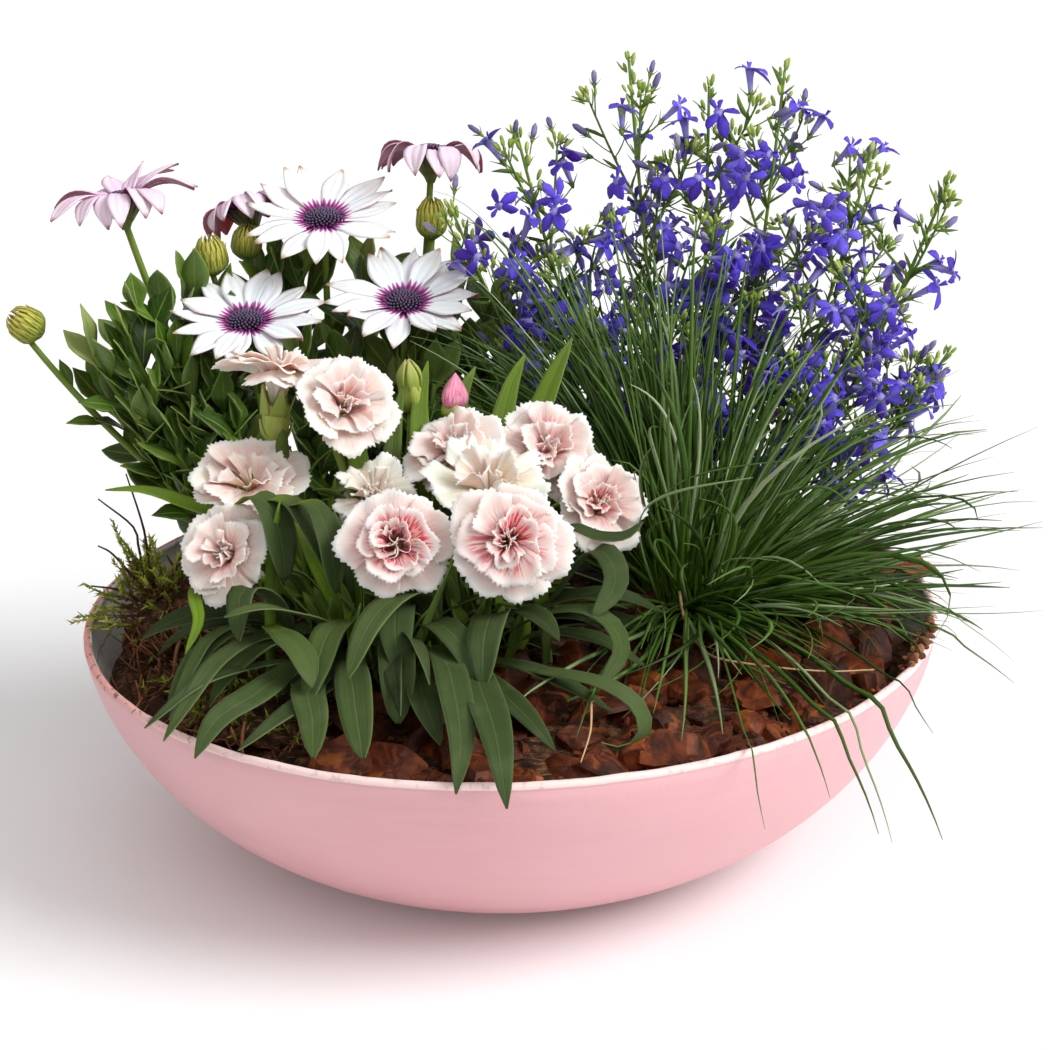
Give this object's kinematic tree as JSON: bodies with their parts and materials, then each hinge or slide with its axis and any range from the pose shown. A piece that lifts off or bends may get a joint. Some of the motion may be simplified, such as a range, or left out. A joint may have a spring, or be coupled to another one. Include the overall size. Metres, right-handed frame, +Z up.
{
  "type": "planted zinc bowl",
  "caption": "Shallow round coated zinc bowl planted with dianthus, osteospermum, blue grass and lobelia over bark and moss, standing on its flat base.",
  "frame": {"origin": "centre of the bowl's flat base, on the surface that it stands on", "axes": "+Z up; -Y is the front, where the leaves hang over the rim; +X is the right side as seen from the front"},
  "size_m": [0.4241, 0.3631, 0.3001],
  "materials": {
    "coated_zinc": "satin",
    "soil": "matte",
    "root_ball": "matte",
    "bark": "matte",
    "moss": "matte",
    "dry_leaf": "matte",
    "dianthus_petal": "matte",
    "dianthus_leaf": "satin",
    "bud": "satin",
    "daisy_petal": "matte",
    "daisy_leaf": "satin",
    "grass": "satin",
    "lobelia": "matte"
  },
  "bodies": {
    "root": {"zinc_bowl": "coated_zinc", "dianthus_root_ball": "root_ball", "osteospermum_root_ball": "root_ball", "grass_root_ball": "root_ball", "lobelia_root_ball": "root_ball", "potting_soil": "soil", "bark_chip_01": "bark", "bark_chip_02": "bark", "bark_chip_03": "bark", "bark_chip_04": "bark", "bark_chip_05": "bark", "bark_chip_06": "bark", "bark_chip_07": "bark", "bark_chip_08": "bark", "bark_chip_09": "bark", "bark_chip_10": "bark", "bark_chip_11": "bark", "moss_cushion_01": "moss", "moss_cushion_02": "moss", "fallen_leaf": "dry_leaf", "dianthus_flower_01": "dianthus_petal", "dianthus_flower_02": "dianthus_petal", "dianthus_flower_03": "dianthus_petal", "dianthus_flower_04": "dianthus_petal", "dianthus_flower_05": "dianthus_petal", "dianthus_flower_06": "dianthus_petal", "dianthus_flower_07": "dianthus_petal", "dianthus_flower_08": "dianthus_petal", "dianthus_flower_09": "dianthus_petal", "dianthus_flower_10": "dianthus_petal", "dianthus_flower_11": "dianthus_petal", "dianthus_bud_01": "bud", "dianthus_bud_02": "bud", "osteospermum_flower_01": "daisy_petal", "osteospermum_flower_02": "daisy_petal", "osteospermum_flower_03": "daisy_petal", "osteospermum_flower_04": "daisy_petal", "osteospermum_flower_05": "daisy_petal", "osteospermum_flower_06": "daisy_petal", "osteospermum_bud_01": "bud", "osteospermum_bud_02": "bud", "osteospermum_bud_03": "bud", "osteospermum_bud_04": "bud", "dianthus_leaves_left": "dianthus_leaf", "dianthus_leaves_front": "dianthus_leaf", "dianthus_leaves_right": "dianthus_leaf", "osteospermum_branch_left": "daisy_leaf", "osteospermum_branch_back": "daisy_leaf", "osteospermum_branch_middle": "daisy_leaf", "osteospermum_branch_right": "daisy_leaf", "grass_tuft": "grass", "lobelia_spray_01": "lobelia", "lobelia_spray_02": "lobelia", "lobelia_spray_03": "lobelia", "lobelia_spray_04": "lobelia", "lobelia_spray_05": "lobelia", "lobelia_spray_06": "lobelia", "lobelia_spray_07": "lobelia", "lobelia_spray_08": "lobelia"}
  },
  "joints": []
}
